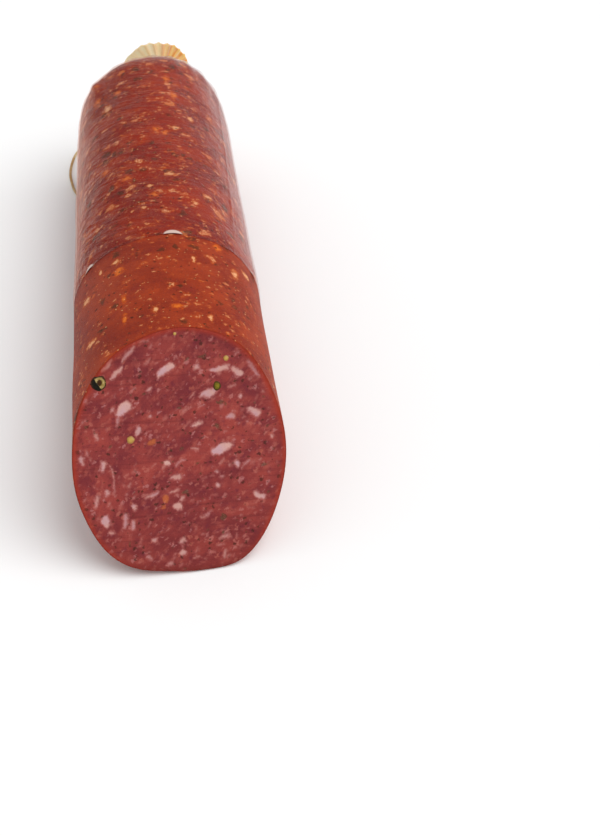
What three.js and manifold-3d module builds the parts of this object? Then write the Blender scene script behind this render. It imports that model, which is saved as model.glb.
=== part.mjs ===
// A cooked salami log, cut on the bias at the front and peeled part of the way back.
// The casing is still on the rear. It is gathered into a neck, tied with twine and flares
// into a pleated tail, and the twine goes on as a hanging loop that lies on the table.
// Millimetres, +Z up, +Y along the log from the cut to the tail.
import * as THREE from 'three';
import { mergeVertices } from 'three/addons/utils/BufferGeometryUtils.js';
import Module from 'manifold-3d';

const wasm = await Module();
wasm.setup();

// Driving dimensions of the log. Its length runs from the middle of the cut to the rear end.
const CASING_DIAMETER = 76.2;
const FILM = 0.4;
const FILM_GAP = 0.25;
const LOG_LENGTH = 297;
const PEELED_LENGTH = 91.5;
const CUT_TILT = 35.2;
const CUT_TWIST = 4.9;

// How far the soft section departs from a circle, as shares of its radius
const FLAT = 0.08;
const WIDER_THAN_TALL = 0.013;
const THREE_SIDED = 0.008;
const FOUR_SIDED = 0.006;

// The lower left of the cut end stands a little off the table, which fades out behind the cut
const LIP_LIFT = 0.067;
const LIP_ANGLE = -10.7;
const LIP_SPREAD = 20;
const LIP_FADE = 14;

// The rounded rear end, and where its tip sits off the log's axis
const DOME_LENGTH = 37;
const DOME_POWER = 2.4;
const TIP_RISE = 8;
const TIP_SIDE = 6;
const SHOULDER_FOLDS = 16;
const FOLD_HEIGHT = 0.8;

// The gathered film behind the tip: a skirt that bends upwards, the tied neck and the tail,
// which spreads into a frill that leans back at its top
const SKIRT_RADIUS = 15;
const NECK_TILT = 30;
const NECK_RADIUS = 4.6;
const NECK_START = 12;
const NECK_END = 15.5;
const TAIL_RADIUS = 15;
const TAIL_LEFT_REACH = 4;
const TAIL_DEPTH = 2.5;
const TAIL_LEAN = 0.26;
const TAIL_FILM = 0.9;
const PLEATS = 22;
const PLEAT_DEPTH = 0.9;

// Twine of the tie and of the hanging loop
const TWINE = 1.5;
const TIE_TURNS = 2;
const KNOT_RADIUS = 1.9;

// The loop's route: down from the knot, round on the table at the left, and up to the knot
const LOOP_ROUTE = [
  [7.3, 313.6, 37.6], [7.4, 313.9, 34], [7.4, 314.2, 30], [7, 314.8, 24], [6, 316, 15.8],
  [3.6, 318.6, 7.6], [-1, 322.4, 2.2], [-8, 326.4, 0.95], [-17, 329.6, 0.9], [-27, 330, 0.9],
  [-36.5, 326, 0.9], [-43, 317, 0.9], [-45.7, 306, 0.9], [-46.8, 291.6, 0.9], [-45.8, 279.6, 0.9],
  [-43.5, 267.8, 0.9], [-38.6, 259.6, 0.9], [-32, 257.6, 0.9], [-26, 261.6, 0.9], [-21.8, 270, 0.9],
  [-17.6, 281, 0.9], [-12.6, 293, 0.9], [-6.8, 303, 1], [-2, 308.6, 3.2], [1.4, 311.6, 9],
  [3.2, 313, 17], [4.2, 313.4, 25], [4.6, 313.5, 31], [4.7, 313.6, 37.6],
];

// Steps of the faceted surfaces
const ROUND_STEPS = 64;
const LIP_STEPS = 4;
const CASED_STEPS = 3;
const DOME_STEPS = 12;
const SKIRT_STEPS = 4;
const TAIL_STEPS = 4;
const TWINE_SIDES = 8;
const TIE_STEPS = 32;
const LOOP_STEPS = 80;

// Values worked out from the driving dimensions
const CASING_RADIUS = CASING_DIAMETER / 2;
const MEAT_RADIUS = CASING_RADIUS - FILM - FILM_GAP;
const AXIS_HEIGHT = (1 - FLAT) * MEAT_RADIUS;
const DOME_START = LOG_LENGTH - DOME_LENGTH;
const NECK_MIDDLE = (NECK_START + NECK_END) / 2;

const materials = {
  meat: new THREE.MeshStandardMaterial({ color: 0x96463a, roughness: 0.45, metalness: 0 }),
  casing: new THREE.MeshStandardMaterial({ color: 0x8a3a40, roughness: 0.25, metalness: 0 }),
  twine: new THREE.MeshStandardMaterial({ color: 0xcbb48c, roughness: 0.9, metalness: 0 }),
};

// Only shared positions are kept, triangles without area go, and faces point outwards
function closedGeometry(geometry) {
  geometry.deleteAttribute('normal');
  geometry.deleteAttribute('uv');
  const merged = mergeVertices(geometry, 1e-4);
  const index = merged.index.array;
  const position = merged.attributes.position;
  const corners = [0, 1, 2].map(() => new THREE.Vector3());
  let triangles = [];
  let volume = 0;
  for (let i = 0; i < index.length; i += 3) {
    const [a, b, c] = [index[i], index[i + 1], index[i + 2]];
    if (a === b || b === c || c === a) continue;
    triangles.push([a, b, c]);
    [a, b, c].forEach((corner, k) => corners[k].fromBufferAttribute(position, corner));
    volume += corners[0].dot(corners[1].clone().cross(corners[2]));
  }
  if (volume < 0) triangles = triangles.map(([a, b, c]) => [a, c, b]);
  merged.setIndex(triangles.flat());
  return merged;
}

function toSolid(geometry) {
  const closed = closedGeometry(geometry);
  const vertProperties = new Float32Array(closed.attributes.position.array);
  const triVerts = new Uint32Array(closed.index.array);
  return new wasm.Manifold(new wasm.Mesh({ numProp: 3, vertProperties, triVerts }));
}

function toGeometry(solid) {
  const mesh = solid.getMesh();
  const geometry = new THREE.BufferGeometry();
  geometry.setAttribute('position', new THREE.BufferAttribute(new Float32Array(mesh.vertProperties), 3));
  geometry.setIndex(Array.from(mesh.triVerts));
  return geometry;
}

// Moves every point of a geometry by a function that changes the point in place
function reshape(geometry, move) {
  const position = geometry.attributes.position;
  const point = new THREE.Vector3();
  for (let i = 0; i < position.count; i += 1) {
    move(point.fromBufferAttribute(position, i));
    position.setXYZ(i, point.x, point.y, point.z);
  }
  return geometry;
}

// Evenly spaced places from one end of a stretch to the other
function stations(from, to, steps) {
  return Array.from({ length: steps + 1 }, (_, i) => THREE.MathUtils.lerp(from, to, i / steps));
}

// Radius of the soft section as a share of the mean, by the angle from straight down
function section(angle, y) {
  const across = (THREE.MathUtils.radToDeg(angle) - LIP_ANGLE) / LIP_SPREAD;
  const fade = 1 - THREE.MathUtils.smoothstep(y, -LIP_FADE, LIP_FADE);
  const lip = LIP_LIFT * Math.exp(-(across ** 2)) * fade;
  const oval = WIDER_THAN_TALL * Math.cos(2 * angle) + FOUR_SIDED * Math.cos(4 * angle);
  return 1 - oval + THREE_SIDED * Math.sin(3 * angle) - lip;
}

// A body along Y that stands proud of the meat by grow, from a flat front to the rounded rear
function logBody(places, grow, floorAt, foldHeight) {
  const radius = MEAT_RADIUS + grow;
  const domeLength = DOME_LENGTH + grow;
  const profile = [new THREE.Vector2(0, places[0])];
  places.forEach((y) => profile.push(new THREE.Vector2(radius, y)));
  for (let i = 1; i < DOME_STEPS; i += 1) {
    const angle = (i / DOME_STEPS) * Math.PI / 2;
    const across = Math.cos(angle) ** (2 / DOME_POWER);
    const along = Math.sin(angle) ** (2 / DOME_POWER);
    profile.push(new THREE.Vector2(radius * across, DOME_START + domeLength * along));
  }
  profile.push(new THREE.Vector2(0, DOME_START + domeLength));

  return reshape(new THREE.LatheGeometry(profile, ROUND_STEPS), (point) => {
    const angle = Math.atan2(point.x, -point.z);
    const share = THREE.MathUtils.clamp((point.y - DOME_START) / domeLength, 0, 1);
    const fold = foldHeight * share * Math.max(0, Math.cos(SHOULDER_FOLDS * angle));
    const swell = (MEAT_RADIUS * section(angle, point.y) + grow + fold) / radius;
    point.x = point.x * swell + TIP_SIDE * share ** 3;
    point.z = point.z * swell + TIP_RISE * share ** 3 + AXIS_HEIGHT;
    point.z = Math.max(point.z, floorAt(point.y));
  });
}

// Everything in front of the slanting cut
function cutAway() {
  const size = 6 * CASING_RADIUS;
  const slope = (angle) => Math.tan(THREE.MathUtils.degToRad(angle));
  const normal = new THREE.Vector3(-slope(CUT_TWIST), 1, -slope(CUT_TILT)).normalize();
  const turn = new THREE.Quaternion().setFromUnitVectors(new THREE.Vector3(0, 1, 0), normal);
  const box = new THREE.BoxGeometry(size, size, size);
  box.translate(0, -size / 2, 0).applyQuaternion(turn).translate(0, 0, AXIS_HEIGHT);
  return toSolid(box);
}

// The peeled front rests on the table itself, and the rear lies inside the casing
function meat() {
  const inCasing = FILM + FILM_GAP;
  const rampEnd = PEELED_LENGTH - 2 * inCasing;
  const rampStart = rampEnd - 2 * inCasing;
  const places = [
    -1.5 * CASING_RADIUS,
    ...stations(-LIP_FADE, LIP_FADE, LIP_STEPS),
    rampStart,
    ...stations(rampEnd, DOME_START, CASED_STEPS),
  ];
  const floorAt = (y) => (y < (rampStart + rampEnd) / 2 ? 0 : inCasing);
  return toGeometry(toSolid(logBody(places, 0, floorAt, 0)).subtract(cutAway()));
}

// Place and direction of the gathered film at a distance behind the tip, along its bent axis
function alongNeck(distance) {
  const tilt = THREE.MathUtils.degToRad(NECK_TILT);
  const bend = NECK_START / tilt;
  const angle = tilt * THREE.MathUtils.clamp(distance / NECK_START, 0, 1);
  const straight = distance - angle * bend;
  const y = bend * Math.sin(angle) + straight * Math.cos(angle);
  const z = bend * (1 - Math.cos(angle)) + straight * Math.sin(angle);
  const matrix = new THREE.Matrix4().makeRotationX(angle);
  return matrix.setPosition(TIP_SIDE, LOG_LENGTH + y, AXIS_HEIGHT + TIP_RISE + z);
}

// Half of the gathered film's outline as radius and distance behind the tip
function tailProfile() {
  const profile = [new THREE.Vector2(0, -SKIRT_RADIUS), new THREE.Vector2(SKIRT_RADIUS, -SKIRT_RADIUS)];
  stations(0, 1, SKIRT_STEPS).forEach((share) => {
    const radius = NECK_RADIUS + (SKIRT_RADIUS - NECK_RADIUS) * (1 - share) ** 2;
    profile.push(new THREE.Vector2(radius, NECK_START * share));
  });
  profile.push(new THREE.Vector2(NECK_RADIUS, NECK_END));
  const flare = stations(0, 1, TAIL_STEPS).slice(1).map((share) => new THREE.Vector2(
    THREE.MathUtils.lerp(NECK_RADIUS, TAIL_RADIUS, share), NECK_END + TAIL_DEPTH * share ** 0.7));
  profile.push(...flare);
  flare.reverse().forEach((point) => profile.push(new THREE.Vector2(point.x, point.y + TAIL_FILM)));
  profile.push(new THREE.Vector2(0, NECK_END + TAIL_FILM));
  return profile;
}

// The gathered film: its folds run in to the neck, and past it they open into deep pleats
function tail() {
  return reshape(new THREE.LatheGeometry(tailProfile(), 4 * PLEATS), (point) => {
    const angle = Math.atan2(point.x, point.z);
    const radius = Math.hypot(point.x, point.z);
    const wave = Math.cos(PLEATS * angle) * (1 + 0.35 * Math.sin(3 * angle + 1));
    const pastNeck = point.y > NECK_END;
    const open = pastNeck ? THREE.MathUtils.smoothstep(radius, NECK_RADIUS, TAIL_RADIUS) : 0;
    const left = Math.max(0, -Math.sin(angle));
    const reach = (TAIL_LEFT_REACH * left ** 2 + Math.sin(5 * angle + 2)) * open;
    const gather = pastNeck ? 0 : 0.06 * wave * radius;
    const swell = radius > 0 ? 1 + (reach + gather) / radius : 1;
    const lean = TAIL_LEAN * Math.max(0, point.z);
    const place = alongNeck(point.y + (PLEAT_DEPTH * wave + lean) * open);
    point.set(point.x * swell, 0, point.z * swell).applyMatrix4(place);
  });
}

// One piece of film: a sleeve that is open at the peeled edge and runs out into the tail
function casing() {
  const places = stations(PEELED_LENGTH, DOME_START, CASED_STEPS);
  const past = [PEELED_LENGTH - CASING_RADIUS, ...places];
  const outside = toSolid(logBody(places, FILM + FILM_GAP, () => 0, FOLD_HEIGHT));
  const inside = toSolid(logBody(past, FILM_GAP, () => FILM, 0));
  return toGeometry(outside.add(toSolid(tail())).subtract(inside));
}

// Turns of twine round the neck, with a knot under it
function tie() {
  const turnRadius = 1.1 * NECK_RADIUS + 0.2 + TWINE / 2;
  const pitch = 0.92 * TWINE;
  const knot = new THREE.SphereGeometry(KNOT_RADIUS, 14, 10);
  knot.scale(1.3, 0.85, 1).translate(0, 0, -turnRadius - 0.5 * KNOT_RADIUS);
  let solid = toSolid(knot);
  for (let i = 0; i < TIE_TURNS; i += 1) {
    const ring = new THREE.TorusGeometry(turnRadius, TWINE / 2, TWINE_SIDES, TIE_STEPS);
    ring.rotateX(Math.PI / 2).translate(0, (i - (TIE_TURNS - 1) / 2) * pitch, 0);
    solid = solid.add(toSolid(ring));
  }
  return toGeometry(solid).applyMatrix4(alongNeck(NECK_MIDDLE));
}

function loop() {
  const route = LOOP_ROUTE.map(([x, y, z]) => new THREE.Vector3(x, y, z));
  const round = Array.from({ length: TWINE_SIDES }, (_, i) => {
    const angle = (i / TWINE_SIDES) * 2 * Math.PI;
    return new THREE.Vector2(Math.cos(angle), Math.sin(angle)).multiplyScalar(TWINE / 2);
  });
  return closedGeometry(new THREE.ExtrudeGeometry(new THREE.Shape(round), {
    steps: LOOP_STEPS,
    bevelEnabled: false,
    extrudePath: new THREE.CatmullRomCurve3(route),
  }));
}

function piece(name, geometry, material) {
  const mesh = new THREE.Mesh(geometry, material);
  mesh.name = name;
  return mesh;
}

const salami = new THREE.Group();
salami.add(
  piece('meat', meat(), materials.meat),
  piece('casing', casing(), materials.casing),
  piece('twine_tie', tie(), materials.twine),
);

// The origin is on the table under the middle of the log with its tail, without the loop
const middle = new THREE.Box3().setFromObject(salami).getCenter(new THREE.Vector3());
salami.add(piece('twine_loop', loop(), materials.twine));
salami.position.set(-middle.x, -middle.y, 0);

export default salami;
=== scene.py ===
"""The looks of a cooked salami log: marbled cut face, peeled rind, clear casing, tied tail and twine loop.

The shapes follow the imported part. They are worked out in millimetres in the log's own frame, where Y is
the log's axis with zero at the middle of the cut, and are moved to the part's frame, in metres, at the end.
"""

import math

import bpy
import numpy as np
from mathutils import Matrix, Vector, noise


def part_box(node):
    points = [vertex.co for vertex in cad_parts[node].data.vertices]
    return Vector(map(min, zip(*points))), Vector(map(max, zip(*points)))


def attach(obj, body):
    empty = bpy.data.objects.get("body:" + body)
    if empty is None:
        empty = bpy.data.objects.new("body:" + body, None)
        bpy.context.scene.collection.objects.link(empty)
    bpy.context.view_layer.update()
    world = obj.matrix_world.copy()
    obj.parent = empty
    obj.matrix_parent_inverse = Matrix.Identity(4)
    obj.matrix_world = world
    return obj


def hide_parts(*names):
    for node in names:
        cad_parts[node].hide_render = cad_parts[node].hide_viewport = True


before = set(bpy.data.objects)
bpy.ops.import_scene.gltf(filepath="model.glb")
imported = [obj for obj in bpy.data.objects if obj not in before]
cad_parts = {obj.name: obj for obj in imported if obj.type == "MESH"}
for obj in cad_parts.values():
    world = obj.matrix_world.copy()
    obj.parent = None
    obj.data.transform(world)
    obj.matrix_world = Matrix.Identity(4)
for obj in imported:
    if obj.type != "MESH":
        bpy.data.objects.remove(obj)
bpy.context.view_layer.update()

SEED = 7
MILLIMETRE = 0.001

# The log, its slanting cut and its domed rear: millimetres, degrees and shares of the radius
CASING_DIAMETER = 76.2
LOG_LENGTH = 297
PEELED_LENGTH = 91.5
AXIS_SIDE = 0.3
CUT_TILT = math.radians(35.2)
CUT_TWIST = math.radians(4.9)
CUT_ROUND = 0.45
FLAT = 0.08
WIDER_THAN_TALL = 0.013
THREE_SIDED = 0.008
FOUR_SIDED = 0.006
LIP_LIFT = 0.067
LIP_ANGLE = -10.7
LIP_SPREAD = 20
LIP_FADE = 14
SOFT_EDGE = 1.6
SOFT_EDGE_DROP = 0.16
DOME_LENGTH = 37
DOME_POWER = 2.4
TIP_RISE = 8
TIP_SIDE = 6

# The fold at the left shoulder
FOLD_ANGLE = math.radians(-134)
FOLD_MIDDLE = 263
FOLD_LENGTH = 11
FOLD_SLANT = 0.3
FOLD_HEIGHT = 1.4
FOLD_WIDTH = 3.0

# Small swellings of the log: height, number round it, turn for each millimetre along it, start
SWELLINGS = ((0.14, 5, 0.05, 0), (0.10, 9, -0.09, 1), (0.08, 3, 0.13, 2))

# The cut face: rings of points, low relief, directions in which the fat lies, and a depth outside any fat
FACE_ROWS = 110
RELIEF_SIZE = 9
RELIEF_HEIGHT = 0.16
FAT_SUNK = 0.07
FLOW_MAIN = 38
FLOW_STEEP = 82
FLOW_LEVEL = 12
OUTSIDE = -9.0

# The film: its front edge, the folds that run in to the neck, and the long crease at the right
FILM = 0.4
FILM_GAP = 0.25
EDGE_STAND = 0.22
EDGE_HUG = 9
EDGE_FILM = 0.12
EDGE_STEPS = (0, 0.3, 0.7, 1.1, 1.5, 1.9, 2.3, 2.7, 3.1, 3.6, 4.2, 5.6, 8, 12)
TURN_IN = 2.0
TURN_IN_STAND = 0.08
TURN_IN_FLOOR = 0.1
LOOSE_HEIGHT = 0.4
FOLDS_START = 244
FOLDS_RUN = 44
FOLDS_HEIGHT = 0.7
CREASE_ANGLE = math.radians(122)
CREASE_TURN = math.radians(9) / 126
CREASE_END = 230
CREASE_HEIGHT = 0.28
CREASE_WIDTH = 0.8
CREASE_FRONT = (100, 130)
CREASE_REAR = (268, 240)

# The gathered film: skirt, neck and frill
SKIRT_RADIUS = 15
SKIRT_GAP = 2
GATHER_RADII = (27, 16)
NECK_TILT = math.radians(30)
NECK_RADIUS = 4.6
NECK_START = 12
NECK_END = 15.5
NECK_PLEAT = 0.07
NECK_CREST = 1.1
TAIL_RADIUS = 15
TAIL_LEFT_REACH = 4
TAIL_CORNER_REACH = 1.7
TAIL_CORNERS = ((32, 16), (-32, 18))
TAIL_WAVER = 0.6
TAIL_FLARE = 0.35
TAIL_DEPTH = 2.5
TAIL_LEAN = 0.26
TAIL_FILM = 0.5
TAIL_RUN = 12
HOLLOW = 2.6
PLEATS = 22
PLEAT_DEPTH = 0.9
COLUMNS = 20 * PLEATS

# The twine and its knot
TWINE = 1.5
TWINE_TWIST = 4.4
STRAND_SHARE = 0.54
TIE_TURNS = 2
TIE_GAP = 0.2
TIE_PITCH = 0.92 * TWINE
KNOT_SIZE = (0.55, 0.5, 0.46)
KNOT_DROP = 1.25

# Values worked out from them
MEAT_RADIUS = CASING_DIAMETER / 2 - FILM - FILM_GAP
FILM_OUT = FILM + FILM_GAP
AXIS_HEIGHT = (1 - FLAT) * MEAT_RADIUS
DOME_START = LOG_LENGTH - DOME_LENGTH
NECK_MIDDLE = (NECK_START + NECK_END) / 2
TIE_RADIUS = NECK_CREST * NECK_RADIUS + TIE_GAP + TWINE / 2
ORIGIN = np.array([AXIS_SIDE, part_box("casing")[0][1] / MILLIMETRE - PEELED_LENGTH, 0])
ANGLES = np.linspace(-math.pi, math.pi, COLUMNS, endpoint=False)
FACE_ACROSS = np.array([1, math.tan(CUT_TWIST), 0])
FACE_UP = np.array([0, math.sin(CUT_TILT), math.cos(CUT_TILT)])
FACE_OUT = np.cross(FACE_ACROSS, FACE_UP) / np.linalg.norm(np.cross(FACE_ACROSS, FACE_UP))

# Light and camera: directions and spreads of the lights, and a camera fitted for a picture 600 by 836
LIGHTS = (("overhead", (0.66, -0.30, 0.98), 60, 1.95), ("rear", (-0.7, 0.8, 0.7), 60, 0.2))
SKY_LIGHT = 0.56
CAMERA_PLACE = (-1.75, -342.1, 314.8)
CAMERA_DOWN = 37.852
CAMERA_RIGHT = 7.338
FOCAL_PIXELS = 1250
LONGER_SIDE = 836

# The hanging loop of twine, from the knot round on the table and back to the knot
LOOP_ROUTE = (
    (7.3, 313.6, 37.6), (7.4, 313.9, 34), (7.4, 314.2, 30), (7, 314.8, 24), (6, 316, 15.8),
    (3.6, 318.6, 7.6), (-1, 322.4, 2.2), (-8, 326.4, 0.95), (-17, 329.6, 0.9), (-27, 330, 0.9),
    (-36.5, 326, 0.9), (-43, 317, 0.9), (-45.7, 306, 0.9), (-46.8, 291.6, 0.9), (-45.8, 279.6, 0.9),
    (-43.5, 267.8, 0.9), (-38.6, 259.6, 0.9), (-32, 257.6, 0.9), (-26, 261.6, 0.9), (-21.8, 270, 0.9),
    (-17.6, 281, 0.9), (-12.6, 293, 0.9), (-6.8, 303, 1), (-2, 308.6, 3.2), (1.4, 311.6, 9),
    (3.2, 313, 17), (4.2, 313.4, 25), (4.6, 313.5, 31), (4.7, 313.6, 37.6),
)

# Loose spots of the film at its front edge, which carry a painted glint: angle from straight down, half
# width, length
LOOSE_SPOTS = ((174, 6.5, 3.4), (-128, 4.5, 3.0), (114, 3.5, 2.2))

# The larger pieces in the cut face, of fat, of pepper and of orange: across, up the cut, length, width, angle
FAT_PIECES = (
    (-23.4, 34.5, 6.7, 2.1, 44), (-20.1, 31.2, 6.7, 1.8, 47), (-15.6, 37.5, 8.0, 1.6, 49),
    (-3.2, 30.2, 7.8, 2.9, 30), (-4.7, 44.3, 2.8, 1.9, 35), (15.9, 28.5, 7.5, 2.4, 1),
    (22.1, 26.9, 5.9, 2.4, -36), (28.1, 27.2, 8.1, 1.6, -55), (10.9, 20.3, 6.6, 2.9, 10),
    (19.8, 22.1, 3.1, 0.7, 6), (-18.6, 18.7, 7.6, 4.0, 33), (-20.9, 14.6, 4.2, 1.1, 73),
    (-22.7, 18.6, 2.6, 1.8, 60), (-31.4, 23.0, 2.6, 2.0, 60), (-9.3, 24.4, 2.8, 1.8, 20),
    (-9.5, 15.1, 1.6, 1.1, 20), (-14.2, 10.5, 4.0, 2.5, 62), (-28.8, 10.2, 4.0, 1.3, 95),
    (6.5, 10.2, 4.6, 1.8, 15), (18.5, 11.2, 3.9, 2.3, 5), (26.6, 12.2, 6.1, 2.4, -32),
    (22.5, 17.6, 2.1, 2.0, 0), (32.7, 2.2, 2.6, 2.0, 20), (8.0, 30.0, 2.5, 2.0, 30),
    (-34.3, 2.7, 3.3, 1.8, 95), (-32.2, 4.6, 2.6, 1.0, 70), (-27.1, -0.5, 4.8, 2.3, 70),
    (-24.2, -6.0, 11.0, 0.8, 92), (-26.7, -9.9, 3.2, 1.8, 50), (-30.4, -12.4, 5.0, 1.6, 76),
    (-27.6, -19.6, 5.6, 3.0, 92), (-26.1, -23.7, 2.2, 1.4, -20), (-21.0, -20.8, 5.6, 1.6, 80),
    (-18.6, -22.4, 4.0, 1.8, 90), (-17.6, -16.1, 3.0, 2.5, 60), (-5.0, -2.2, 3.4, 3.1, 60),
    (-0.4, -2.6, 4.5, 0.8, 24), (-2.3, -7.7, 5.7, 2.1, 6), (-10.9, -12.8, 5.6, 1.5, 18),
    (-2.4, -17.9, 4.6, 2.8, 0), (-0.5, -15.7, 2.2, 1.6, 30), (-3.2, -12.2, 4.4, 1.4, 15),
    (14.4, 0.3, 9.2, 3.8, 18), (5.0, 1.3, 3.3, 1.2, -10), (19.5, -5.5, 2.8, 2.7, 0),
    (22.5, -6.4, 4.2, 1.0, 38), (12.2, -7.4, 1.9, 1.8, 0), (12.2, -12.4, 2.8, 1.7, -35),
    (13.5, -9.7, 2.0, 1.2, -20), (27.0, -17.9, 5.8, 2.4, -30), (-1.8, -30.2, 4.0, 1.8, 24),
    (-2.2, -34.7, 3.4, 2.4, 0), (-6.4, -37.7, 3.1, 1.3, 10), (-14.0, -34.5, 2.6, 1.3, -25),
    (12.9, -31.1, 4.0, 1.3, 12), (12.7, -37.2, 3.6, 1.5, 80), (-11.5, -28.5, 2.5, 2.3, 0),
)
PEPPER_BITS = (
    (10.3, 33.5, 3.2, 1.0, 12), (4.4, 33.2, 2.0, 1.0, 20), (15.2, 16.9, 3.2, 1.2, 0),
    (29.1, -7.3, 2.6, 1.6, -10), (0.5, -13.5, 2.8, 1.4, 10), (13.1, -23.9, 3.4, 2.6, 20),
    (-24.4, 6.0, 1.6, 1.1, 60), (6.4, -7.6, 1.2, 0.9, 30), (12.9, -29.4, 1.7, 1.5, 0),
    (31.0, 6.0, 1.4, 1.3, 0), (13.4, 8.3, 1.8, 1.6, 0), (-11.5, 23.0, 1.8, 1.2, 50),
)
ORANGE_BITS = ((-6.2, -14.9, 3.2, 2.4, 70), (-7.6, -17.4, 1.8, 1.3, 20), (-10.0, 5.6, 4.0, 1.4, 20))

# The larger pieces that show in the rind: round the log from its top, along it, half width, half length
RIND_ORANGE = (
    (-19, 74, 2.6, 3.6), (-17, 53, 1.2, 3.2), (3, 41, 2.6, 1.9), (-17, 40, 1.2, 3.2), (22, 88, 2, 3.2),
    (-29, 243, 2.6, 4.6), (-17, 240, 2, 3.2), (8, 247, 2, 4.4), (11, 227, 1.8, 4.6), (1, 190, 2.3, 3.2),
    (5, 186, 1.8, 3.2), (-2, 127, 2.3, 2.5), (-14, 147, 2.7, 2.5), (-24, 162, 2.3, 3.2),
)
RIND_CREAM = (
    (-20, 82, 2.2, 1.9), (-37, 72, 2.4, 2.8), (-5, 40, 1.1, 2.2), (15, 34, 1, 2.2), (11, 74, 1, 2.2),
    (29, 74, 1.8, 3.2), (36, 81, 2.6, 2.4), (-33, 38, 3.2, 1.6), (-28, 82, 1, 1.8), (-23, 228, 2.5, 4.6),
    (10, 192, 2.4, 2.1), (18, 205, 1.7, 3.4), (5, 145, 2.4, 2.2), (-4, 136, 1.4, 1.9), (21, 129, 2.4, 2.3),
    (15, 120, 1.3, 1.7), (-7, 117, 1.2, 1.4),
)
RIND_HERBS = (
    (-20, 88, 1.8, 2.2), (-27, 60, 1.6, 2.5), (-21, 51, 1.6, 1.5), (-1, 81, 1.6, 1.4), (5, 55, 1, 1.5),
    (10, 95, 1.7, 1.7), (-7, 261, 2.2, 2.2), (12, 262, 2, 2.8), (12, 164, 1.2, 1.9), (-20, 175, 1.6, 2.4),
    (8, 139, 2, 1.4), (-35, 147, 2, 3.2),
)

# Grains that sit in the cut face: across, up the cut, radius, height, stretch
PEPPERCORN = ((-26.4, 28.5, 2.85, 0.34, 1.0),)
MUSTARD_SEEDS = ((-17.0, 7.6, 1.45, 0.45, 1.0), (1.2, 42.6, 0.7, 0.25, 1.0), (18.5, 31.9, 1.05, 0.35, 1.0))
GREEN_BIT = ((14.6, 22.6, 1.5, 0.30, 1.2),)


def smooth(low, high, value):
    """Smooth step from 0 at low to 1 at high."""
    share = np.clip((value - low) / (high - low), 0, 1)
    return share * share * (3 - 2 * share)


def to_part(points):
    """Points of the log's frame in millimetres, as points of the part's frame in metres."""
    return (np.asarray(points, float) + ORIGIN) * MILLIMETRE


def colour(red, green, blue):
    """A colour given as screen values from 0 to 255, as the linear values that the nodes take."""
    linear = [(value / 255 / 12.92) if value < 11 else ((value / 255 + 0.055) / 1.055) ** 2.4
              for value in (red, green, blue)]
    return (*linear, 1.0)


# Shape of the log

def section(angle, y):
    """Radius of the soft section as a share of the mean, by the angle from straight down."""
    across = (np.degrees(angle) - LIP_ANGLE) / LIP_SPREAD
    lip = LIP_LIFT * np.exp(-across ** 2) * (1 - smooth(-LIP_FADE, LIP_FADE, y))
    oval = WIDER_THAN_TALL * np.cos(2 * angle) + FOUR_SIDED * np.cos(4 * angle)
    return 1 - oval + THREE_SIDED * np.sin(3 * angle) - lip


def uneven(angle, y):
    """Small swellings of the stuffed log, and the fold at its left shoulder."""
    waves = sum(height * np.sin(count * angle + turn * y + start) for height, count, turn, start in SWELLINGS)
    off = (angle - FOLD_ANGLE) * MEAT_RADIUS - FOLD_SLANT * (y - FOLD_MIDDLE)
    along = (y - FOLD_MIDDLE) / FOLD_LENGTH
    return waves + FOLD_HEIGHT * np.exp(-(off / FOLD_WIDTH) ** 2 - along ** 2)


def settle(z, floor):
    """Heights settled on a floor, with a soft edge where the log leaves it."""
    above = z - floor
    rounded = (above + np.sqrt(above ** 2 + SOFT_EDGE ** 2)) / 2
    return floor + np.maximum(0, rounded - SOFT_EDGE_DROP)


def ring(across, y, grow, floor):
    """One ring of points round the log, where across is the dome's share of the radius."""
    share = np.clip((y - DOME_START) / (DOME_LENGTH + FILM_OUT), 0, 1)
    radius = (MEAT_RADIUS * section(ANGLES, y) + uneven(ANGLES, y) + grow) * across
    x = radius * np.sin(ANGLES) + TIP_SIDE * share ** 3
    z = AXIS_HEIGHT - radius * np.cos(ANGLES) + TIP_RISE * share ** 3
    return np.stack([x, y + 0 * ANGLES, settle(z, floor)], -1)


def dome_places(grow, steps):
    """Shares of the radius and places along the log, from the dome's start to its tip."""
    turn = np.linspace(0, math.pi / 2, steps + 1)[1:]
    across = np.cos(turn) ** (2 / DOME_POWER)
    along = np.sin(turn) ** (2 / DOME_POWER)
    return list(zip(across, DOME_START + (DOME_LENGTH + grow) * along))


def on_face(across, up, lift=0.0):
    """Points of the cut, from places across it and up it, raised off it by lift."""
    plane = np.multiply.outer(across, FACE_ACROSS) + np.multiply.outer(up, FACE_UP)
    return plane + np.multiply.outer(lift, FACE_OUT) + np.array([0, 0, AXIS_HEIGHT])


def cut_line():
    """The place along the log where the cut leaves its surface, at each angle, found in a few rounds."""
    first_guess, rounds = -20, 8
    y = first_guess
    for _ in range(rounds):
        edge = ring(1, y, 0, 0)
        y = (edge[:, 2] - AXIS_HEIGHT) * math.tan(CUT_TILT) + edge[:, 0] * math.tan(CUT_TWIST)
    return y


# Mesh helpers

def linked(name, data):
    """A new object in the scene."""
    made = bpy.data.objects.new(name, data)
    bpy.context.collection.objects.link(made)
    return made


def new_object(name, points, faces, materials, face_slots=None):
    """A smooth mesh object from points in the log's frame, riding on the part's one body."""
    mesh = bpy.data.meshes.new(name)
    mesh.from_pydata(to_part(points).tolist(), [], faces)
    for material in materials:
        mesh.materials.append(material)
    mesh.polygons.foreach_set("use_smooth", [True] * len(mesh.polygons))
    if face_slots is not None:
        mesh.polygons.foreach_set("material_index", face_slots)
    mesh.update()
    piece = linked(name, mesh)
    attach(piece, "root")
    return piece


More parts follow.
